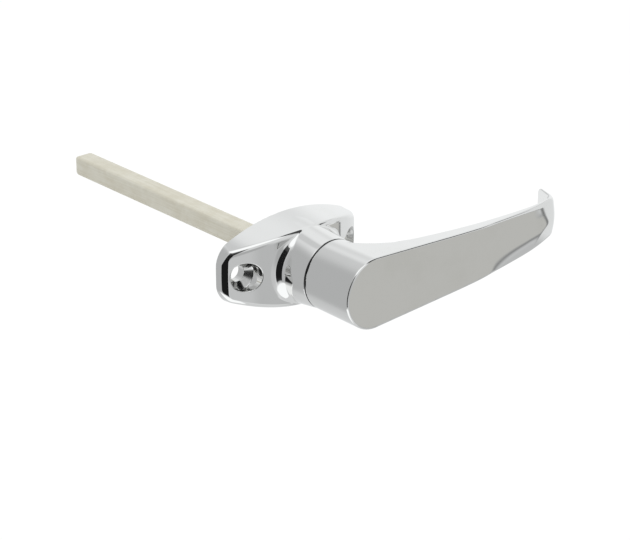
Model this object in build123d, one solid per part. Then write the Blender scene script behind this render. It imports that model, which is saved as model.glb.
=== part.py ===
from build123d import *
import math
import os

# L-shaped door handle on its own rose, with a long square spindle.
# The origin is the centre of the rose's back face. X runs along the lever,
# +Y goes into the door along the spindle, Z is up. Sizes are in millimetres.
# Every depth below is measured outwards from the door face, towards -Y.

# Rose outline on the door
rose_length = 65.0
rose_height = 33.7
rose_end_height = 18.195136
rose_end_bow = 160.0
rose_corner = 6.0
rose_draft = 8.0

# Crowned front of the rose, and the barrel that keeps the neck fillet below its top and bottom rims
crown_crest = 15.2
crown_end_depth = 3.1967104
brow_crest = 18.2
brow_radius = 35.0
rim_round = 1.2

# Round neck that rises from the crown
neck_root_radius = 16.8
collar_radius = 13.25
collar_depth = 26.3
neck_fillet = 3.4

# Screw holes in the two pads
hole_spacing = 50.0
screw_bore_radius = 3.0
screw_head_radius = 5.45
screw_seat_depth = 3.4
screw_seat_angle = 45.0
screw_boss_wall = 2.0

# Cored back of the rose
rose_wall = 2.8
recess_radius = 12.9
recess_depth = 9.5
sleeve_radius = 13.6
core_corner = 3.0

# Bearing between the rose and the lever
journal_radius = 9.0
bearing_clearance = 0.05
shoulder_gap = 0.3
journal_end_depth = 3.4

# Hub of the lever
hub_radius = 13.5
hub_fillet = 9.5
face_edge_round = 0.6

# Front of the blade, seen from above: a long bow, a sweep, a tight curl and a straight return
face_crest_depth = 49.4
face_crest_x = 38.0
face_bow_radius = 390.0
bow_end_x = 81.6
sweep_radius = 70.0
sweep_heading = 20.0
curl_radius = 8.2
curl_heading = 71.0
return_length = 8.5

# Back of the blade, which sets its thickness
back_crest_depth = 44.0
back_crest_x = 58.5
back_bow_radius = 245.0
curl_thickness = 3.3
return_thickness = 2.2

# Height of the blade: it narrows evenly from the hub to the tip
blade_taper = 3.85
return_corner = 2.4

# Square spindle
spindle_side = 8.0
spindle_edge = 0.9
spindle_end_chamfer = 0.8
spindle_reach = 126.0
socket_floor_depth = 38.0
socket_clearance = 0.1

# Cross pin through the journal and the spindle
pin_radius = 1.5
pin_clearance = 0.02
pin_depth = 18.0
pin_end_gap = 0.5

# Flat washer and bowed spring washer in the recess
washer_thickness = 1.0
washer_gap = 0.3
spring_thickness = 0.6
spring_bow_radius = 60.0
spring_outer_radius = 11.8

# Retaining ring in its groove near the end of the journal
ring_thickness = 1.2
ring_groove_radius = 8.5
ring_gap = 0.05
ring_outer_radius = 10.4
ring_lug_radius = 1.5
ring_lug_hole_radius = 0.6
ring_lug_reach = 10.4
ring_lug_angle = 14.0

door = Plane.XZ


def disc(radius, start, end):
    """Straight cylinder about the spindle axis between two depths."""
    return extrude(door.offset(start) * Circle(radius), end - start)


def washer(outer, inner, start, end):
    """Flat ring about the spindle axis between two depths."""
    return disc(outer, start, end) - disc(inner, start, end)


def cone(radius_start, radius_end, start, end):
    """Cone about the spindle axis between two depths."""
    profile = make_face(Polyline(
        (0, -start), (radius_start, -start), (radius_end, -end), (0, -end), close=True))
    return revolve(profile, Axis.Y)


def bow_through(drop, half_length):
    # Radius of an arc that falls by the drop at each end of its length
    return (half_length ** 2 + drop ** 2) / (2 * drop)


# The long sides and the crown both run from their middle to the named sizes at the ends
rose_side_bow = bow_through((rose_height - rose_end_height) / 2, rose_length / 2)
crown_radius = bow_through(crown_crest - crown_end_depth, rose_length / 2)


def outline(inset=0.0, corner=rose_corner):
    """Bowed rectangle of the rose, drawn in by an inset."""
    half_x = rose_length / 2 - inset
    half_z = rose_height / 2 - inset
    shape = Pos(0, half_z - rose_side_bow) * Circle(rose_side_bow)
    shape &= Pos(0, rose_side_bow - half_z) * Circle(rose_side_bow)
    shape &= Pos(half_x - rose_end_bow, 0) * Circle(rose_end_bow)
    shape &= Pos(rose_end_bow - half_x, 0) * Circle(rose_end_bow)
    return fillet(shape.vertices(), corner)


def crown(drop=0.0):
    """Barrel whose curved side is the front of the rose, lowered by a drop."""
    return Pos(0, crown_radius - crown_crest, 0) * Cylinder(crown_radius - drop, 3 * rose_height)


def brow():
    """Barrel along the rose that lets the neck fillet fade out at the top and bottom rims."""
    barrel = Rot(0, 90, 0) * Cylinder(brow_radius, 3 * rose_length)
    return Pos(0, brow_radius - brow_crest, 0) * barrel


def on_screw_axis(side, shape):
    """Move a shape from the spindle axis to one of the two screw axes."""
    return Pos(side * hole_spacing / 2, 0, 0) * shape


def screw_hole():
    """Bore, seat for a countersunk head and the well that leads to it."""
    seat_rise = (screw_head_radius - screw_bore_radius) / math.tan(math.radians(screw_seat_angle))
    seat_top = screw_seat_depth + seat_rise
    cut = disc(screw_bore_radius, -1, screw_seat_depth)
    cut += cone(screw_bore_radius, screw_head_radius, screw_seat_depth, seat_top)
    cut += disc(screw_head_radius, seat_top, collar_depth)
    return cut


def core():
    """Hollow under the crown that leaves the walls, the sleeve and the two screw bosses."""
    hollow = extrude(door.offset(-1) * outline(rose_wall, core_corner), crown_crest, taper=rose_draft)
    hollow &= crown(rose_wall)
    hollow -= disc(sleeve_radius, recess_depth, collar_depth)
    boss = disc(screw_head_radius + screw_boss_wall, -2, collar_depth)
    for side in (-1, 1):
        hollow -= on_screw_axis(side, boss)
    return hollow


def is_rim(edge):
    """True for the edges between the crowned front and the drafted sides."""
    beside_neck = abs(edge.center().X) > neck_root_radius
    off_door = -edge.bounding_box().max.Y > rim_round
    return edge.geom_type == GeomType.BSPLINE and beside_neck and off_door


def rose_shell():
    """Outside of the rose: drafted sides, crowned front, neck and the fillet around its foot."""
    neck = cone(neck_root_radius, collar_radius, 0, collar_depth)
    blended = crown() + neck
    foot = blended.edges().filter_by(lambda e: e.geom_type not in (GeomType.LINE, GeomType.CIRCLE))
    foot = foot.filter_by(lambda e: -e.center().Y > crown_crest / 2)
    blended = fillet(foot, neck_fillet)
    prism = extrude(door * outline(), collar_depth, taper=rose_draft)
    shell = blended & ((prism & brow()) + neck)
    return fillet([e for e in shell.edges() if is_rim(e)], rim_round)


def make_rose():
    rose = rose_shell()
    for side in (-1, 1):
        rose -= on_screw_axis(side, screw_hole())
    rose -= core()
    rose -= disc(recess_radius, -1, recess_depth)
    rose -= disc(journal_radius + bearing_clearance, -1, collar_depth + 1)
    return rose


def bow_depth(x, crest_depth, crest_x, radius):
    """Depth of a shallow arc with its crest at crest_x."""
    return crest_depth - radius + math.sqrt(radius**2 - (x - crest_x)**2)


def bow_arc(x_from, x_to, crest_depth, crest_x, radius):
    """The arc itself, in plan, with depth measured towards -Y."""
    stops = [x_from, (x_from + x_to) / 2, x_to]
    points = [(x, -bow_depth(x, crest_depth, crest_x, radius)) for x in stops]
    return ThreePointArc(*points)


def inward(line, place):
    """Direction at a place on the front line that points into the metal."""
    return (line % place).rotate(Axis.Z, 90)


def front_line():
    """Plan of the front: bow, sweep, curl and the straight return."""
    bow = bow_arc(-2 * hub_radius, bow_end_x, face_crest_depth, face_crest_x, face_bow_radius)
    bow_heading = math.degrees(math.asin((bow_end_x - face_crest_x) / face_bow_radius))
    sweep_arc = JernArc(bow @ 1, bow % 1, sweep_radius, sweep_heading - bow_heading)
    curl = JernArc(sweep_arc @ 1, sweep_arc % 1, curl_radius, curl_heading - sweep_heading)
    tail = Line(curl @ 1, (curl @ 1) + return_length * (curl % 1))
    return bow, sweep_arc, curl, tail


def blade_section():
    """Plan of the blade: its front line, the end of the return and its back line."""
    bow, sweep_arc, curl, tail = front_line()
    back = bow_arc((bow @ 0).X, bow_end_x, back_crest_depth, back_crest_x, back_bow_radius)
    back_curl_start = (curl @ 0) + curl_thickness * inward(curl, 0)
    back_curl_end = (tail @ 0) + return_thickness * inward(tail, 0)
    tip = (tail @ 1) + return_thickness * inward(tail, 1)
    back_sweep = TangentArc(back @ 1, back_curl_start, tangent=back % 1)
    back_curl = TangentArc(back_curl_start, back_curl_end, tangent=back_sweep % 1)
    back_tail = Line(back_curl_end, tip)
    cap = Line(tip, tail @ 1)
    root = Line(back @ 0, bow @ 0)
    return make_face(Wire([bow, sweep_arc, curl, tail, cap, back_tail, back_curl, back_sweep, back, root]))


def lever_outline():
    """Side view of the lever: the hub's circle runs at a tangent into a strip that narrows evenly."""
    slope = math.radians(blade_taper)
    touch_x = hub_radius * math.sin(slope)
    touch_z = hub_radius * math.cos(slope)
    far_x = 2 * bow_end_x
    far_z = touch_z - (far_x - touch_x) * math.tan(slope)
    top, bottom = (touch_x, touch_z), (touch_x, -touch_z)
    arc = ThreePointArc(top, (-hub_radius, 0), bottom)
    sides = Polyline(bottom, (far_x, -far_z), (far_x, far_z), top)
    return make_face([arc, *sides.edges()])


def is_hub_corner(edge):
    """True for the closed edge where the hub meets the back of the blade."""
    depth = -edge.center().Y
    around = abs(edge.bounding_box().size.X - 2 * hub_radius) < 2
    return around and collar_depth + 2 * shoulder_gap < depth < back_crest_depth


def follows(edge, line, reach):
    """True for an edge that stays within reach of a line when both are seen from above."""
    places = [edge @ 0.1, edge @ 0.5, edge @ 0.9]
    return all(line.distance_to(Vector(place.X, place.Y, 0)) < reach for place in places)


def is_border(edge):
    """True for the top, bottom and hub edges of the blade, false for its upright seams."""
    return abs(edge.center().Z) > return_corner or edge.center().X < 0


def round_edges(body):
    """Round the corners of the return, then the edge that borders the whole front."""
    front = Wire(front_line())
    end_x = (front @ 1).X
    corners = [e for e in body.edges().filter_by(GeomType.LINE)
               if abs(e.length - return_thickness) < 0.05 and e.center().X > end_x - return_thickness]
    body = fillet(corners, return_corner)
    face_edges = [e for e in body.edges() if is_border(e) and follows(e, front, 0.02)]
    return fillet(face_edges, face_edge_round)


def lever_body():
    """Hub and blade in one piece, with the wide fillet behind the blade."""
    shoulder = collar_depth + shoulder_gap
    body = extrude(blade_section(), 2 * hub_radius, both=True)
    body += disc(hub_radius, shoulder, back_crest_depth)
    body = fillet([e for e in body.edges() if is_hub_corner(e)], hub_fillet)
    body &= extrude(door * lever_outline(), 2 * face_crest_depth)
    return round_edges(body)


def spring_crest():
    """Depth of the top of the bowed spring washer."""
    return recess_depth - washer_thickness - washer_gap


def ring_seat():
    """Depth of the ring's outer side, just below the spring washer."""
    sag = spring_bow_radius - math.sqrt(spring_bow_radius**2 - ring_outer_radius**2)
    return spring_crest() - spring_thickness - sag - washer_gap


def square_bar(side, corner, start, end):
    """Square bar about the spindle axis with rounded edges."""
    section = RectangleRounded(side, side, corner)
    return extrude(door.offset(start) * section, end - start)


def cross_bar(radius, half_length):
    """Upright cylinder across the spindle axis at the depth of the pin."""
    return Pos(0, -pin_depth, 0) * Cylinder(radius, 2 * half_length)


def make_lever():
    shoulder = collar_depth + shoulder_gap
    lever = lever_body()
    lever += disc(journal_radius, journal_end_depth, shoulder + 1)
    socket_side = spindle_side + 2 * socket_clearance
    lever -= square_bar(socket_side, spindle_edge, journal_end_depth - 1, socket_floor_depth)
    lever -= cross_bar(pin_radius + pin_clearance, 2 * journal_radius)
    groove_end = ring_seat() + ring_gap
    groove_start = ring_seat() - ring_thickness - ring_gap
    lever -= washer(2 * journal_radius, ring_groove_radius, groove_start, groove_end)
    return lever


def make_spindle():
    inner_end = socket_floor_depth - shoulder_gap
    bar = square_bar(spindle_side, spindle_edge, -spindle_reach, inner_end)
    ends = bar.faces().sort_by(Axis.Y)
    bar = chamfer(ends[0].edges() + ends[-1].edges(), spindle_end_chamfer)
    return bar - cross_bar(pin_radius + pin_clearance, 2 * journal_radius)


def make_pin():
    return cross_bar(pin_radius, journal_radius + bearing_clearance - pin_end_gap)


def make_flat_washer():
    return washer(recess_radius - washer_gap, journal_radius + washer_gap,
                  recess_depth - washer_thickness, recess_depth)


def make_spring_washer():
    """Thin ring bent about an upright axis, crest towards the flat washer."""
    blank = washer(spring_outer_radius, journal_radius + washer_gap, 0, recess_depth)
    outer_sheet = Cylinder(spring_bow_radius, rose_height)
    inner_sheet = Cylinder(spring_bow_radius - spring_thickness, rose_height)
    return blank & (Pos(0, spring_bow_radius - spring_crest(), 0) * (outer_sheet - inner_sheet))


def make_retaining_ring():
    """Open ring with two drilled lugs at its gap, sprung into the groove."""
    end = ring_seat()
    start = end - ring_thickness
    ring = disc(ring_outer_radius, start, end)
    for angle in (-ring_lug_angle, ring_lug_angle):
        turn = Rot(0, angle, 0) * Pos(0, 0, -ring_lug_reach)
        ring += turn * disc(ring_lug_radius, start, end)
        ring -= turn * disc(ring_lug_hole_radius, start, end)
    ring -= disc(ring_groove_radius + ring_gap, start, end)
    gap_half = ring_lug_reach * math.sin(math.radians(ring_lug_angle)) - ring_lug_radius
    slot = Pos(0, -end, -ring_outer_radius) * Box(2 * gap_half, 4 * ring_thickness, ring_outer_radius)
    return ring - slot


makers = {
    "rose": make_rose,
    "lever_handle": make_lever,
    "spindle": make_spindle,
    "spindle_pin": make_pin,
    "flat_washer": make_flat_washer,
    "spring_washer": make_spring_washer,
    "retaining_ring": make_retaining_ring,
}
os.makedirs("parts", exist_ok=True)
for name, make in makers.items():
    export_step(make(), "parts/" + name + ".step")
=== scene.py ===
import math
import bpy
import numpy as np
from mathutils import Matrix


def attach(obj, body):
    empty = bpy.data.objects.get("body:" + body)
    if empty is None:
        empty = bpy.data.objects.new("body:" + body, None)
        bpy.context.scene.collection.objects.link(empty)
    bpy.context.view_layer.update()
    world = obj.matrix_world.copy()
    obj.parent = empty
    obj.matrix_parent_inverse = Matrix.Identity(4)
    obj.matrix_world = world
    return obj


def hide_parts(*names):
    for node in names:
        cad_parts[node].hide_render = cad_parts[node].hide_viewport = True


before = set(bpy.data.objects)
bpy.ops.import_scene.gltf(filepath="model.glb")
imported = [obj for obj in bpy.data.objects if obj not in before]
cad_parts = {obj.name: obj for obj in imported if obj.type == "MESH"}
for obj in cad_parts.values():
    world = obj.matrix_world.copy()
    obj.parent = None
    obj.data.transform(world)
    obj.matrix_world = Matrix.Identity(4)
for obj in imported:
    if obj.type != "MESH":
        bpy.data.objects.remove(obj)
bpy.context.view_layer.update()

print("frame loaded:", sorted(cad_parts))

# Fields are worked out in millimetres at points (x, depth, z), with depth = -Y measured off the door.
# A field is negative in the metal and about as long as the distance to its surface.

meshing = {
    "slopeReach": 0.01,  # from the point to each of the two samples of its slope
    "settleRounds": 6, "settledValue": 1e-4,
    "drawRounds": 4, "drawLimit": 0.5,  # longest move of a point in one round, in steps of the grid
    "leastSlope": 0.25,  # smallest squared slope that a move is divided by
}
tiny = 1e-9


def rise(value, low, high):  # smooth step from 0 at low to 1 at high
    t = np.clip((value - low) / (high - low), 0, 1)
    return t * t * (3 - 2 * t)


def bothOf(a, b, radius):  # what is inside both, with their common edge rounded
    return np.minimum(np.maximum(a, b), -radius) + np.hypot(np.maximum(a + radius, 0), np.maximum(b + radius, 0))


def eitherOf(a, b, radius):  # what is inside either, with the corner between them filled
    return np.maximum(np.minimum(a, b), radius) - np.hypot(np.maximum(radius - a, 0), np.maximum(radius - b, 0))


def slopeOf(field, points):
    # Along each axis: the field a little ahead less the field a little behind, over the distance between them
    reach = meshing["slopeReach"]
    columns = []
    for axis in range(3):
        offset = np.zeros(3)
        offset[axis] = reach
        ahead, behind = points + offset, points - offset
        columns.append((field(*ahead.T) - field(*behind.T)) / (2 * reach))
    return np.stack(columns, 1)


squareCorners = ((0, 0), (1, 0), (1, 1), (0, 1))  # in order round a square of the grid


def settle(values):
    # Where the signs round a grid square alternate, its value nearest to zero changes sign. Otherwise the two
    # sheets that meet there would share an edge.
    for _ in range(meshing["settleRounds"]):
        for u, v in ((0, 1), (1, 2), (0, 2)):
            cuts = []
            for shiftU, shiftV in squareCorners:
                cut = [slice(None)] * 3
                cut[u] = slice(shiftU, values.shape[u] - 1 + shiftU)
                cut[v] = slice(shiftV, values.shape[v] - 1 + shiftV)
                cuts.append(tuple(cut))
            four = np.stack([values[cut] for cut in cuts])
            signs = four < 0
            mixed = (signs[0] == signs[2]) & (signs[1] == signs[3]) & (signs[0] != signs[1])
            nearest = np.abs(four).argmin(0)
            for k, cut in enumerate(cuts):
                chosen = np.zeros(values.shape, bool)
                chosen[cut] = mixed & (nearest == k)
                values[chosen] = np.where(values[chosen] < 0, meshing["settledValue"], -meshing["settledValue"])
    return values


def surfaceGrid(field, low, high, step):
    # One vertex in each cell that the surface crosses, at the mean of the places where the cell's edges are
    # crossed, and a four-sided face round each crossed grid line.
    axes = [np.arange(a, b + step, step) for a, b in zip(low, high)]
    values = settle(field(*np.meshgrid(*axes, indexing="ij")))
    inside = values < 0
    total = np.zeros(tuple(n - 1 for n in values.shape))
    places = np.zeros(total.shape + (3,))
    corner = [slice(0, -1), slice(1, None)]
    spots = np.stack(np.meshgrid(*[a[:-1] for a in axes], indexing="ij"), -1)
    for axis in range(3):
        others = [k for k in range(3) if k != axis]
        for sides in ((0, 0), (0, 1), (1, 0), (1, 1)):
            first, second = [None] * 3, [None] * 3
            first[axis], second[axis] = corner
            for k, side in zip(others, sides):
                first[k] = second[k] = corner[side]
            a, b = values[tuple(first)], values[tuple(second)]
            crossed = (a < 0) != (b < 0)
            total += crossed
            places[..., axis] += np.where(crossed, a / np.where(crossed, a - b, 1), 0)
            for k, side in zip(others, sides):
                places[..., k] += crossed * side
    used = total > 0
    index = np.full(total.shape, -1)
    index[used] = np.arange(used.sum())
    points = (spots + step * places / np.maximum(total, 1)[..., None])[used]
    faces = []
    for axis in range(3):
        u, v = (axis + 1) % 3, (axis + 2) % 3
        near, far = [slice(1, -1)] * 3, [slice(1, -1)] * 3
        near[axis], far[axis] = corner
        starts, ends = inside[tuple(near)], inside[tuple(far)]
        ring = []
        for shiftU, shiftV in squareCorners:
            cut = [None] * 3
            cut[axis] = slice(None)
            for k, shift in ((u, shiftU), (v, shiftV)):
                cut[k] = slice(shift, total.shape[k] - 1 + shift)
            ring.append(index[tuple(cut)])
        ring = np.stack(ring, -1)
        faces += [ring[starts & ~ends], ring[~starts & ends][:, ::-1]]
    return points, np.concatenate(faces)


def castPiece(name, field, sizes, body, node):
    # The grid's points are drawn onto the exact surface: each moves against the slope by the field's value over
    # the squared slope. The slope there gives the normals.
    step = sizes["step"]
    points, faces = surfaceGrid(field, sizes["boxLow"], sizes["boxHigh"], step)
    for _ in range(meshing["drawRounds"]):
        slope = slopeOf(field, points)
        steepness = np.maximum((slope ** 2).sum(1), meshing["leastSlope"])
        move = field(*points.T)[:, None] * slope / steepness[:, None]
        size = np.linalg.norm(move, axis=1, keepdims=True)
        points = points - move * np.minimum(1, meshing["drawLimit"] * step / np.maximum(size, tiny))
    slope = slopeOf(field, points)
    normals = slope / np.maximum(np.linalg.norm(slope, axis=1, keepdims=True), tiny)
    toFrame = np.array([1, -1, 1])  # depth becomes -Y
    mesh = bpy.data.meshes.new(name)
    mesh.from_pydata((points * toFrame / 1000).tolist(), [], faces[:, ::-1].tolist())
    mesh.validate()
    mesh.polygons.foreach_set("use_smooth", np.ones(len(mesh.polygons), bool))
    mesh.normals_split_custom_set_from_vertices((normals * toFrame).tolist())
    piece = bpy.data.objects.new(name, mesh)
    bpy.context.scene.collection.objects.link(piece)
    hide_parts(node)
    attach(piece, body)
    print(name, "vertices", len(mesh.vertices), "faces", len(mesh.polygons))
    return piece


# Lever: hub and blade in one casting. Headings turn from +X towards the door. A span holds the two values of x,
# or of the length along the blade from the crest of its bow, between which something changes.
lever = {
    "hubRadius": 13.5, "hubTaper": 0.2, "hubFillet": 9.5, "shoulder": 26.6, "shoulderRound": 0.45,
    "journalRadius": 9.0, "journalEnd": 3.4, "journalRoot": 1.0,
    "grooveRadius": 8.5, "grooveMiddle": 5.75, "grooveHalf": 0.65,
    "socketHalf": 4.1, "socketRound": 0.9, "socketFloor": 38.0,
    "pinDepth": 18.0, "pinRadius": 1.52, "pinHalf": 10.0,
    "crestX": 38.0, "crestDepth": 49.4, "bowRadius": 390.0, "bowEndX": 81.6,
    "sweepRadius": 70.0, "sweepHeading": 20.0, "curlRadius": 8.2, "curlHeading": 71.0, "returnLength": 8.5,
    "stripSlope": 3.25, "cornerRadius": 2.4, "taperSpan": (0, 20),
    "edgeRound": 0.85, "hubEdgeRound": 0.8, "hubEdgeSpan": (-3, 6), "tipEdgeRound": 1.5, "tipEdgeSpan": (30, 62),
    "backRound": 1.0, "backRoundSpan": (16, 26),
    "crownGrowth": 0.0012, "crownSpan": (13, 24), "crownTip": 0.3, "crownTipSpan": (40, 54),
    "crownFade": 0.8, "crownFadeSpan": (57, 69), "crownSlope": 0.21, "flatCrown": 1e-5,
    "thicknessSpan": (-52, 77),
    "boxLow": (-14.2, 2.8, -14.2), "boxHigh": (106.2, 50.2, 14.2), "step": 0.42,
}
# Thickness of the blade at lengths from the crest of the bow, with a smooth curve through it
bladeLengths = [-52, -38, -24, -18, 2, 22, 37, 43.7, 60.3, 67.6, 76]
bladeThicknesses = [12.4, 10.5, 8.7, 8.0, 6.1, 4.8, 4.2, 4.0, 3.2, 2.5, 2.1]
curveDegree = 5
thicknessCurve = np.polyfit(bladeLengths, bladeThicknesses, curveDegree)


def frontLine(x, depth):
    # Distance in front of the blade's front line and the length along it. The line is flat over the hub, then
    # three arcs and a straight return. Beside an arc the distance is the reach from its centre less its radius,
    # and the length is its radius times the angle.
    p = lever
    heading = math.asin((p["bowEndX"] - p["crestX"]) / p["bowRadius"])
    centreX, centreDepth = p["crestX"], p["crestDepth"] - p["bowRadius"]
    overHub = x < centreX
    angle = np.arctan2(x - centreX, depth - centreDepth)
    offBow = np.hypot(x - centreX, depth - centreDepth) - p["bowRadius"]
    distance = np.where(overHub, depth - p["crestDepth"], offBow)
    length = np.where(overHub, x - centreX, p["bowRadius"] * angle)
    endX = centreX + p["bowRadius"] * math.sin(heading)
    endDepth = centreDepth + p["bowRadius"] * math.cos(heading)
    endLength = p["bowRadius"] * heading
    for radius, nextHeading in ((p["sweepRadius"], math.radians(p["sweepHeading"])),
                                (p["curlRadius"], math.radians(p["curlHeading"]))):
        past = (x - endX) * math.cos(heading) - (depth - endDepth) * math.sin(heading) > 0
        centreX, centreDepth = endX - radius * math.sin(heading), endDepth - radius * math.cos(heading)
        angle = np.arctan2(x - centreX, depth - centreDepth)
        distance = np.where(past, np.hypot(x - centreX, depth - centreDepth) - radius, distance)
        length = np.where(past, endLength + radius * (angle - heading), length)
        endX = centreX + radius * math.sin(nextHeading)
        endDepth = centreDepth + radius * math.cos(nextHeading)
        endLength += radius * (nextHeading - heading)
        heading = nextHeading
    along = (x - endX) * math.cos(heading) - (depth - endDepth) * math.sin(heading)
    across = (x - endX) * math.sin(heading) + (depth - endDepth) * math.cos(heading)
    distance = np.where(along > 0, across, distance)
    length = np.where(along > 0, endLength + along, length)
    return distance, length, endLength + p["returnLength"]


def crownDrop(length, z):
    # How far the front falls away at z: a hyperbola that levels out at the named slope. Its sharpness grows with
    # the length, a little more near the tip, and fades on the curl.
    p = lever
    sharpness = p["crownGrowth"] * np.maximum(length - p["crownSpan"][0], 0) * rise(length, *p["crownSpan"])
    sharpness = sharpness * (1 + p["crownTip"] * rise(length, *p["crownTipSpan"]))
    sharpness = sharpness * (1 - p["crownFade"] * rise(length, *p["crownFadeSpan"]))
    sharpness = np.maximum(sharpness, p["flatCrown"])
    return p["crownSlope"] ** 2 / sharpness * (np.sqrt(1 + (sharpness * z / p["crownSlope"]) ** 2) - 1)


def leverField(x, depth, z):
    # The blade is a slab behind the front line, cut to the side outline, with a fillet to the hub behind it.
    # The side outline is the hub's circle with a straight strip on each side, which leans in by its slope.
    p = lever
    front, length, lastLength = frontLine(x, depth)
    slope = math.radians(p["stripSlope"])
    reach = np.hypot(x, z)
    behindCrest = np.clip((p["crestDepth"] - depth) / (p["crestDepth"] - p["shoulder"]), 0, 1)
    hubRadius = p["hubRadius"] - p["hubTaper"] * behindCrest
    stripRadius = hubRadius + (p["hubRadius"] - hubRadius) * rise(x, *p["taperSpan"])
    onStrip = x * math.cos(slope) - np.abs(z) * math.sin(slope) > 0
    strip = x * math.sin(slope) + np.abs(z) * math.cos(slope) - stripRadius
    side = np.where(onStrip, strip, reach - hubRadius)
    ended = bothOf(side, length - lastLength, p["cornerRadius"])
    edge = p["edgeRound"] + (p["tipEdgeRound"] - p["edgeRound"]) * rise(length, *p["tipEdgeSpan"])
    edge = edge + (p["hubEdgeRound"] - p["edgeRound"]) * (1 - rise(x, *p["hubEdgeSpan"]))
    body = bothOf(front + crownDrop(length, z), ended, edge)
    behind = -front - np.polyval(thicknessCurve, np.clip(length, *p["thicknessSpan"]))
    back = eitherOf(behind, reach - hubRadius, p["hubFillet"])
    body = bothOf(body, back, p["backRound"] * rise(x, *p["backRoundSpan"]))
    body = bothOf(body, p["shoulder"] - depth, p["shoulderRound"])
    journalSpan = np.maximum(depth - p["shoulder"] - p["journalRoot"], p["journalEnd"] - depth)
    journal = np.maximum(reach - p["journalRadius"], journalSpan)
    groove = np.maximum(p["grooveRadius"] - reach, np.abs(depth - p["grooveMiddle"]) - p["grooveHalf"])
    body = np.minimum(body, np.maximum(journal, -groove))
    socket = bothOf(np.abs(x) - p["socketHalf"], np.abs(z) - p["socketHalf"], p["socketRound"])
    socket = np.maximum(socket, depth - p["socketFloor"])
    pin = np.maximum(np.hypot(x, depth - p["pinDepth"]) - p["pinRadius"], np.abs(z) - p["pinHalf"])
    return np.maximum(body, -np.minimum(socket, pin))


# Rose: crowned body with two pads, conical neck, two screw wells and a cored back. Spans are depths, and those
# of the fillet's fade are heights.
rose = {
    "halfLength": 32.5, "halfHeight": 16.85, "sideBow": 72.0, "endBow": 160.0, "draft": 8.0,
    "corner": 4.8, "padCorner": 3.4, "cornerSpan": (0, 5), "backRound": 0.3,
    "crownCrest": 15.2, "crownRadius": 50.0, "rimRound": 1.6,
    "neckRoot": 16.8, "collarRadius": 13.25, "collarDepth": 26.3, "collarRound": 0.45,
    "neckWaist": 0.07, "waistDepth": 12.0,  # in full up to this depth, and gone at the collar
    "neckFillet": 3.3, "rimFillet": 0.35, "filletFade": (8.5, 14.5), "filletSpan": (4, 10), "leastFillet": 1e-3,
    "holeX": 25.0, "boreRadius": 3.0, "seatDepth": 3.4, "wellRadius": 5.45, "wellRound": 0.25,
    "wall": 2.8, "hollowCorner": 3.0, "recessRadius": 12.9, "recessDepth": 9.5, "sleeveRadius": 13.6,
    "bossRadius": 7.45, "journalBore": 9.05,
    "boxLow": (-33.2, -0.6, -17.5), "boxHigh": (33.2, 27.0, 17.5), "step": 0.36,
}


def bowedOutline(x, z, inset, corner):  # four large arcs with rounded corners, seen along the spindle
    p = rose
    side = np.hypot(x, np.abs(z) + p["sideBow"] - p["halfHeight"] + inset) - p["sideBow"]
    end = np.hypot(np.abs(x) + p["endBow"] - p["halfLength"] + inset, z) - p["endBow"]
    return bothOf(side, end, corner)


def draftedSides(x, depth, z, inset, corner):  # the outline, smaller with the depth by the draft
    draft = math.radians(rose["draft"])
    return (bowedOutline(x, z, inset, corner) + depth * math.tan(draft)) * math.cos(draft)


def roseField(x, depth, z):
    # Drafted sides under a crowned front, with the cone of the neck grown out of it and the hollows taken away.
    # The crown is an arc along x, and the seats of the screws are cones of 45 degrees.
    p = rose
    reach = np.hypot(x, z)
    corner = p["corner"] + (p["padCorner"] - p["corner"]) * rise(depth, *p["cornerSpan"])
    sides = draftedSides(x, depth, z, 0, corner)
    crown = np.hypot(x, depth + p["crownRadius"] - p["crownCrest"]) - p["crownRadius"]
    pads = bothOf(sides, crown, p["rimRound"])
    coneSlope = (p["neckRoot"] - p["collarRadius"]) / p["collarDepth"]
    waist = 1 + p["neckWaist"] * (1 - rise(depth, p["waistDepth"], p["collarDepth"]))  # narrower along x
    neck = (np.hypot(x * waist, z) - p["neckRoot"] + depth * coneSlope) / math.hypot(1, coneSlope)
    fade = rise(np.abs(z), *p["filletFade"])
    fillet = (p["neckFillet"] + (p["rimFillet"] - p["neckFillet"]) * fade) * rise(depth, *p["filletSpan"])
    shell = eitherOf(pads, neck, np.maximum(fillet, p["leastFillet"]))
    shell = bothOf(shell, depth - p["collarDepth"], p["collarRound"])
    shell = bothOf(shell, -depth, p["backRound"])
    hollow = draftedSides(x, depth, z, p["wall"], p["hollowCorner"])
    hollow = np.maximum(hollow, crown + p["wall"])
    hollow = np.maximum(hollow, -np.maximum(reach - p["sleeveRadius"], p["recessDepth"] - depth))
    screwReach = np.hypot(np.abs(x) - p["holeX"], z)
    hollow = np.maximum(hollow, p["bossRadius"] - screwReach)
    recess = np.maximum(reach - p["recessRadius"], depth - p["recessDepth"])
    hollow = np.minimum(hollow, np.minimum(recess, reach - p["journalBore"]))
    seat = (screwReach - p["boreRadius"] - depth + p["seatDepth"]) * math.sqrt(0.5)
    well = np.minimum(screwReach - p["boreRadius"], np.maximum(screwReach - p["wellRadius"], seat))
    return np.maximum(bothOf(shell, -well, p["wellRound"]), -hollow)


# Spindle: square bar with soft edges, a rounded far end and the pin's hole
spindle = {
    "half": 4.0, "edgeRound": 1.3, "farEnd": 124.6, "farRound": 3.0, "nearEnd": 37.7, "nearRound": 0.8,
    "pinDepth": 18.0, "pinRadius": 1.52,
    "boxLow": (-4.6, -125.4, -4.6), "boxHigh": (4.6, 38.6, 4.6), "step": 0.5,
}


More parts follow.
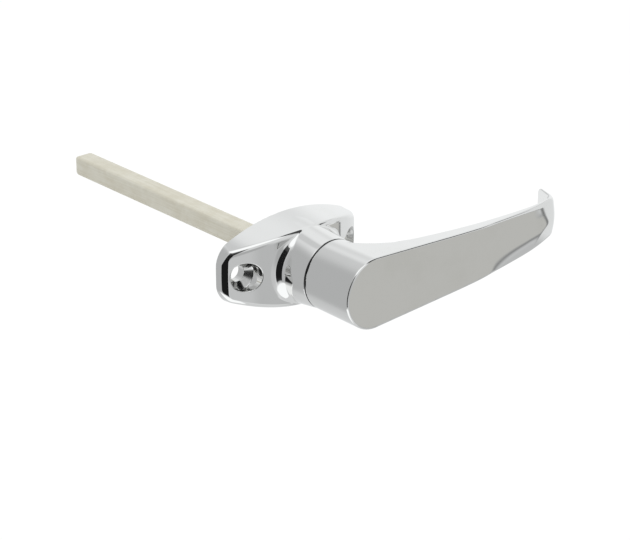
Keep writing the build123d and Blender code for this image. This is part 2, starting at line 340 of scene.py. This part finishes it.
def spindleField(x, depth, z):
    # A rounded square along the depth, cut by two rounded ends
    p = spindle
    bar = bothOf(np.abs(x) - p["half"], np.abs(z) - p["half"], p["edgeRound"])
    bar = bothOf(bar, -depth - p["farEnd"], p["farRound"])
    bar = bothOf(bar, depth - p["nearEnd"], p["nearRound"])
    return np.maximum(bar, p["pinRadius"] - np.hypot(x, depth - p["pinDepth"]))


leverPiece = castPiece("leverCasting", leverField, lever, "lever_assembly", "lever_handle")
rosePiece = castPiece("roseCasting", roseField, rose, "rose_assembly", "rose")
spindlePiece = castPiece("spindleBar", spindleField, spindle, "lever_assembly", "spindle")


# Shader maths: a Wire is a socket that can be added, multiplied and so on; Graph.add makes any other node.
class Wire:
    def __init__(self, graph, socket):
        self.graph, self.socket = graph, socket

    def maths(self, operation, *others):
        return self.graph.maths(operation, self, *others)

    def other(self, name):  # another output of the same node
        return Wire(self.graph, self.socket.node.outputs[name])

    def __add__(self, other):
        return self.maths("ADD", other)

    def __radd__(self, other):
        return self.graph.maths("ADD", other, self)

    def __sub__(self, other):
        return self.maths("SUBTRACT", other)

    def __rsub__(self, other):
        return self.graph.maths("SUBTRACT", other, self)

    def __mul__(self, other):
        return self.maths("MULTIPLY", other)

    def __rmul__(self, other):
        return self.graph.maths("MULTIPLY", other, self)

    def step(self, low, high):  # smooth step from 0 at low to 1 at high
        return self.graph.add("ShaderNodeMapRange", {"interpolation_type": "SMOOTHSTEP"},
                              {"Value": self, "From Min": low, "From Max": high})


class Graph:
    def __init__(self, tree):
        self.tree = tree
        tree.nodes.clear()

    def add(self, kind, settings=None, values=None, output=0):
        node = self.tree.nodes.new(kind)
        for name, value in (settings or {}).items():
            setattr(node, name, value)
        for name, value in (values or {}).items():
            if isinstance(value, Wire):
                self.tree.links.new(value.socket, node.inputs[name])
            else:
                node.inputs[name].default_value = value
        return Wire(self, node.outputs[output]) if node.outputs else None

    def maths(self, operation, *values):
        return self.add("ShaderNodeMath", {"operation": operation}, dict(enumerate(values)))

    def mix(self, factor, first, second):  # colour mix
        return self.add("ShaderNodeMix", {"data_type": "RGBA"}, {0: factor, 6: first, 7: second}, 2)

    def noise(self, place, scale, detail, roughness):
        return self.add("ShaderNodeTexNoise", None, {
            "Vector": place, "Scale": scale, "Detail": detail, "Roughness": roughness})

    def axes(self, vector):  # x, y and z of a vector
        x = self.add("ShaderNodeSeparateXYZ", None, {0: vector})
        return x, x.other("Y"), x.other("Z")


def newMaterial(name):
    material = bpy.data.materials.new(name)
    material.use_nodes = True
    return material, Graph(material.node_tree)


# A noise is its scale, detail and roughness
plating = {
    "tone": (0.86, 0.86, 0.85, 1), "dullTone": (0.82, 0.82, 0.80, 1), "roughness": 0.03,
    "veil": (55.0, 5.0, 0.6), "veilSpan": (0.45, 0.75), "veilShade": 0.6, "veilRoughness": 0.05,
    "grain": (900.0, 3.0, 0.5), "grainHeight": 0.02, "grainRoughness": 0.01,
    "wave": (40.0, 1.0, 0.4), "bumpStrength": 0.12, "bumpDistance": 0.0002,
    # painted shade in the gap between the hub and the collar, spans in mm from its middle
    "gapShadeTone": (0.05, 0.05, 0.05, 1), "jointDepth": 26.45, "gapShadeSpan": (0.3, 0.55),
    "gapShadeStrength": 0.9, "jointRoughness": 0.25,
    # painted shade on the walls of the screw wells, which are also rougher, spans in mm from the hole's axis
    "wellShadeTone": (0.50, 0.50, 0.49, 1), "wellInner": (3.05, 3.2), "wellOuter": (5.0, 5.5),
    "wellShade": 0.5, "wellGrain": 0.5, "wellRoughness": 0.08,
}


def platedMetal(name, wellX=None):
    # Polished plate: faint waves from polishing, a veil of smudges and a fine grain, with painted shade in a band
    # where the hub meets the collar and on the walls of the screw wells, which are also rougher. Roughness is the
    # polish plus a share of the veil and of the grain.
    p = plating
    material, g = newMaterial(name)
    place = g.add("ShaderNodeTexCoord", output="Object")
    veil = g.noise(place, *p["veil"]).step(*p["veilSpan"])
    grain = g.noise(place, *p["grain"])
    wave = g.noise(place, *p["wave"])
    bump = g.add("ShaderNodeBump", None, {
        "Strength": p["bumpStrength"], "Distance": p["bumpDistance"], "Height": wave + grain * p["grainHeight"]})
    colour = g.mix(veil * p["veilShade"], p["tone"], p["dullTone"])
    polish = p["roughness"] + veil * p["veilRoughness"] + grain * p["grainRoughness"]
    x, y, z = g.axes(place)
    # painted shade: a dark band painted on the metal at the depth where the hub meets the collar
    offJoint = (y * 1000 + p["jointDepth"]).maths("ABSOLUTE")
    gapShade = 1 - offJoint.step(*p["gapShadeSpan"])
    colour = g.mix(gapShade * p["gapShadeStrength"], colour, p["gapShadeTone"])
    polish = polish + gapShade * p["jointRoughness"]
    if wellX:
        aside = x.maths("ABSOLUTE") - wellX
        reach = (aside * aside + z * z).maths("SQRT") * 1000
        well = reach.step(*p["wellInner"]) * (1 - reach.step(*p["wellOuter"]))
        # painted shade: the walls of the screw well are darkened towards the shade tone, with some grain
        colour = g.mix(well * (p["wellShade"] + grain * p["wellGrain"]), colour, p["wellShadeTone"])
        polish = polish + well * p["wellRoughness"]
    shader = g.add("ShaderNodeBsdfPrincipled", None, {
        "Base Color": colour, "Metallic": 1.0, "Roughness": polish, "Normal": bump})
    g.add("ShaderNodeOutputMaterial", None, {"Surface": shader})
    return material


drawing = {
    "stretch": (1, 0.03, 1), "streaks": (1500.0, 4.0, 0.6), "blotches": (160.0, 5.0, 0.65),
    "streakShade": 0.5, "blotchShade": 0.5, "wearSpan": (0.35, 0.65), "streakRoughness": 0.12,
    "blotchHeight": 0.5, "bumpStrength": 0.25, "bumpDistance": 0.0001,
}
spindleFinish = {
    "light": (0.735, 0.71, 0.615, 1), "dark": (0.65, 0.615, 0.505, 1), "roughness": 0.45, "metallic": 0.35}
steelFinish = {
    "light": (0.60, 0.60, 0.60, 1), "dark": (0.48, 0.48, 0.48, 1), "roughness": 0.28, "metallic": 1.0}


def drawnMetal(name, finish):
    # Drawn metal: streaks along Y and small blotches, which by their shares shade it between its two tones
    p = drawing
    material, g = newMaterial(name)
    place = g.add("ShaderNodeTexCoord", output="Object")
    stretched = g.add("ShaderNodeMapping", None, {"Vector": place, "Scale": p["stretch"]})
    streaks = g.noise(stretched, *p["streaks"])
    blotches = g.noise(place, *p["blotches"])
    wear = (streaks * p["streakShade"] + blotches * p["blotchShade"]).step(*p["wearSpan"])
    bump = g.add("ShaderNodeBump", None, {
        "Strength": p["bumpStrength"], "Distance": p["bumpDistance"],
        "Height": streaks + blotches * p["blotchHeight"]})
    shader = g.add("ShaderNodeBsdfPrincipled", None, {
        "Base Color": g.mix(wear, finish["light"], finish["dark"]), "Metallic": finish["metallic"],
        "Roughness": finish["roughness"] + streaks * p["streakRoughness"], "Normal": bump})
    g.add("ShaderNodeOutputMaterial", None, {"Surface": shader})
    return material


def paint(piece, material):
    piece.data.materials.clear()
    piece.data.materials.append(material)


paint(leverPiece, platedMetal("leverPlate"))
paint(rosePiece, platedMetal("rosePlate", rose["holeX"] / 1000))
paint(spindlePiece, drawnMetal("spindleMetal", spindleFinish))
steel = drawnMetal("brightSteel", steelFinish)
for node in ("spindle_pin", "flat_washer", "spring_washer", "retaining_ring"):
    paint(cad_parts[node], steel)
print("materials done")

# Camera, from the fit to the photograph: angles in degrees, lengths in millimetres, focal length in pixels
view = {"azimuth": -41.713, "elevation": 23.501, "roll": 0.049, "focal": 2317.3, "imageWidth": 630,
        "distance": 849.8, "offsetX": -11.406, "offsetY": 6.327, "sensorWidth": 36.0, "clip": (0.01, 20)}


def placeAt(thing, right, up, back, place):  # columns of its matrix are its own axes and its place
    rows = [list(column) for column in zip(right, up, back, place)]
    thing.matrix_world = Matrix(rows + [[0, 0, 0, 1]])
    bpy.context.scene.collection.objects.link(thing)


def placeCamera():
    # Axes of a camera that looks at the origin from the azimuth and elevation, turned by the roll. It then
    # steps back by the distance and aside by the two offsets.
    a, e, r = (math.radians(view[k]) for k in ("azimuth", "elevation", "roll"))
    right = np.array([math.cos(a), math.sin(a), 0])
    up = np.array([-math.sin(a) * math.sin(e), math.cos(a) * math.sin(e), math.cos(e)])
    back = np.array([math.sin(a) * math.cos(e), -math.cos(a) * math.cos(e), math.sin(e)])
    turnedRight = math.cos(r) * right + math.sin(r) * up
    turnedUp = -math.sin(r) * right + math.cos(r) * up
    place = (view["distance"] * back - view["offsetX"] * turnedRight - view["offsetY"] * turnedUp) / 1000
    data = bpy.data.cameras.new("camera")
    data.sensor_width = view["sensorWidth"]
    data.lens = view["focal"] / view["imageWidth"] * view["sensorWidth"]
    data.clip_start, data.clip_end = view["clip"]
    camera = bpy.data.objects.new("camera", data)
    placeAt(camera, turnedRight, turnedUp, back, place)
    bpy.context.scene.camera = camera


placeCamera()

# Studio: a pale tent round the handle, on a pale floor. A patch of the tent has the middle and half width of
# its turn (0 is in front of the rose, positive to its right), the two limits of its lift above the horizon, the
# softness of its borders, all in degrees, and its level. A lean tilts its upright borders by that share of the
# lift.
studio = {
    "room": 0.85, "low": 0.70, "lowSpan": (-60, -30), "cameraLevel": 1.02, "fillLevel": 0.9,
    "coolTint": (0.985, 1, 1.01, 1), "warmTint": (1, 1, 0.965, 1),
    "floorZ": -0.16, "floorRadius": 2.5, "floorSides": 96, "floorTone": (0.86, 0.86, 0.86, 1),
    "floorGlow": 1.04, "floorGlowShare": 0.88,
}
tentPatches = [
    {"turn": (-160, 46), "lift": (-48, 50), "soft": (36, 14), "level": 0.54},  # shade behind the left wall
    {"turn": (-122, 31), "lift": (-46, 46), "soft": (10, 12), "level": 0.485},  # left wall
    {"turn": (180, 16), "lift": (-35, 22), "soft": (5, 6), "level": 0.92},  # bright gap behind
    {"turn": (-8, 37), "lift": (-44, 60), "soft": (6, 5), "level": 0.75},  # front wall
    {"turn": (-8, 37), "lift": (-36, 8), "soft": (6, 8), "level": 0.60},  # its lower part
    {"turn": (-27, 19), "lift": (-15, 24), "soft": (8, 8), "level": 0.44},  # dim spot on it
    {"turn": (61, 35), "lift": (-30.6, 48), "soft": (1.3, 1.3), "level": 0.26},  # rim of the warm card
    {"turn": (61, 35), "lift": (-28.7, 45), "soft": (1.3, 1.0), "level": 0.535, "warm": 1.0},  # warm card
    {"turn": (96, 30), "lift": (-12.8, 20), "soft": (4, 0.8), "level": 0.42},  # rim of the card's notch
    {"turn": (96, 28), "lift": (-11.6, 20), "soft": (5, 0.8), "level": 0.78},  # notch at its far side
    {"turn": (112.5, 20), "lift": (-45, -12), "soft": (1.0, 1.3), "lean": 0.47, "level": 0.22},  # corner's rim
    {"turn": (95.5, 35), "lift": (-32, 50), "soft": (1.0, 1.3), "lean": -0.83, "level": 0.22},  # far side's rim
    {"turn": (114.5, 20), "lift": (-45, -12), "soft": (1.0, 1.3), "lean": 0.47, "level": 0.80},  # past its corner
    {"turn": (95.5, 32.5), "lift": (-35, 48), "soft": (1.0, 2), "lean": -0.83, "level": 0.80},  # past its far side
    {"turn": (72, 42), "lift": (-64, -30.6), "soft": (8, 1.3), "level": 0.55},  # under the card
    {"turn": (128, 34), "lift": (38, 66), "soft": (10, 9), "level": 0.90},  # upper right wall
    {"turn": (180, 14), "lift": (47, 75), "soft": (6, 6), "level": 0.66},  # above the bright gap
    {"turn": (7, 20), "lift": (-36, -10), "soft": (6, 6), "level": 0.53},  # right half of the front wall
    {"turn": (122, 20), "lift": (-20, 27), "soft": (12, 8), "level": 0.96},  # bright right wall
    {"turn": (57, 29), "lift": (32, 76), "soft": (3, 3), "level": 0.06},  # black flag over the card
    {"turn": (-60, 78), "lift": (56, 87), "soft": (5, 3), "level": 1.15},  # lamp overhead
    {"turn": (-82, 52), "lift": (-85, -39), "soft": (3, 2), "level": 1.12},  # bright floor on the left
    {"turn": (-68, 23), "lift": (-34, 50), "soft": (1.5, 1.5), "lean": 0.15, "level": 0.07},  # dark flag, left
    {"turn": (-68, 23), "lift": (-34, 30), "soft": (1.5, 8), "lean": 0.15, "level": 0.012},  # its black part
]


def studioWorld():
    # Level of the tent in a direction: each patch in turn draws the level towards its own by its share there.
    # Only reflections see the tent.
    world = bpy.data.worlds.new("studio")
    world.use_nodes = True
    bpy.context.scene.world = world
    g = Graph(world.node_tree)
    x, y, z = g.axes(g.add("ShaderNodeTexCoord", output="Generated"))
    turn = x.maths("ARCTAN2", y * -1.0) * (180 / math.pi)
    lift = z.maths("ARCSINE") * (180 / math.pi)

    def between(value, low, high, soft):  # 1 between the two limits, with soft borders
        return value.step(low - soft, low + soft) * (1 - value.step(high - soft, high + soft))

    level = studio["low"] + (studio["room"] - studio["low"]) * lift.step(*studio["lowSpan"])
    warmth = 0.0
    for patch in tentPatches:
        middle, half = patch["turn"]
        low, high = patch["lift"]
        away = (turn - lift * patch.get("lean", 0.0) - middle).maths("WRAP", 180.0, -180.0)
        share = between(away, -half, half, patch["soft"][0]) * between(lift, low, high, patch["soft"][1])
        level = level + (patch["level"] - level) * share
        warmth = warmth + (patch.get("warm", 0.0) - warmth) * share
    seen = g.add("ShaderNodeLightPath", output="Is Camera Ray")
    shiny = seen.other("Is Glossy Ray")
    strength = seen * studio["cameraLevel"] + (1 - seen) * (shiny * level + (1 - shiny) * studio["fillLevel"])
    tint = g.mix(seen, g.mix(warmth, studio["coolTint"], studio["warmTint"]), (1, 1, 1, 1))
    shader = g.add("ShaderNodeBackground", None, {"Color": tint, "Strength": strength})
    g.add("ShaderNodeOutputWorld", None, {"Surface": shader})


studioWorld()


def studioFloor():
    # A flat disc: its rim is the cosine and sine of even angles times its radius
    angle = np.linspace(0, 2 * np.pi, studio["floorSides"], endpoint=False)
    rim = np.stack([studio["floorRadius"] * np.cos(angle), studio["floorRadius"] * np.sin(angle),
                    np.full(len(angle), studio["floorZ"])], 1)
    mesh = bpy.data.meshes.new("floor")
    mesh.from_pydata(rim.tolist(), [], [list(range(len(angle)))])
    floor = bpy.data.objects.new("floor", mesh)
    bpy.context.scene.collection.objects.link(floor)
    material, g = newMaterial("paleFloor")
    diffuse = g.add("ShaderNodeBsdfDiffuse", None, {"Color": studio["floorTone"]})
    glow = g.add("ShaderNodeEmission", None, {"Color": (1, 1, 1, 1), "Strength": studio["floorGlow"]})
    share = g.add("ShaderNodeLightPath", output="Is Camera Ray") * studio["floorGlowShare"]
    shader = g.add("ShaderNodeMixShader", None, {0: share, 1: diffuse, 2: glow})
    g.add("ShaderNodeOutputMaterial", None, {"Surface": shader})
    paint(floor, material)
    floor.visible_glossy = False


studioFloor()

topLamp = {"place": (-0.2, -0.1, 1.3), "target": (0.02, 0.0, 0.0), "size": 0.8, "power": 5.0}


def softLamp(name, lamp):
    # A round lamp at its place: its back axis points from the target to it
    data = bpy.data.lights.new(name, "AREA")
    data.shape, data.size, data.energy = "DISK", lamp["size"], lamp["power"]
    light = bpy.data.objects.new(name, data)
    back = np.array(lamp["place"]) - np.array(lamp["target"])
    back = back / np.linalg.norm(back)
    right = np.cross((0, 0, 1), back)
    right = right / np.linalg.norm(right)
    placeAt(light, right, np.cross(back, right), back, lamp["place"])
    light.visible_glossy = False


softLamp("topLamp", topLamp)

settings = bpy.context.scene.view_settings
settings.view_transform = "Standard"
print("studio done")
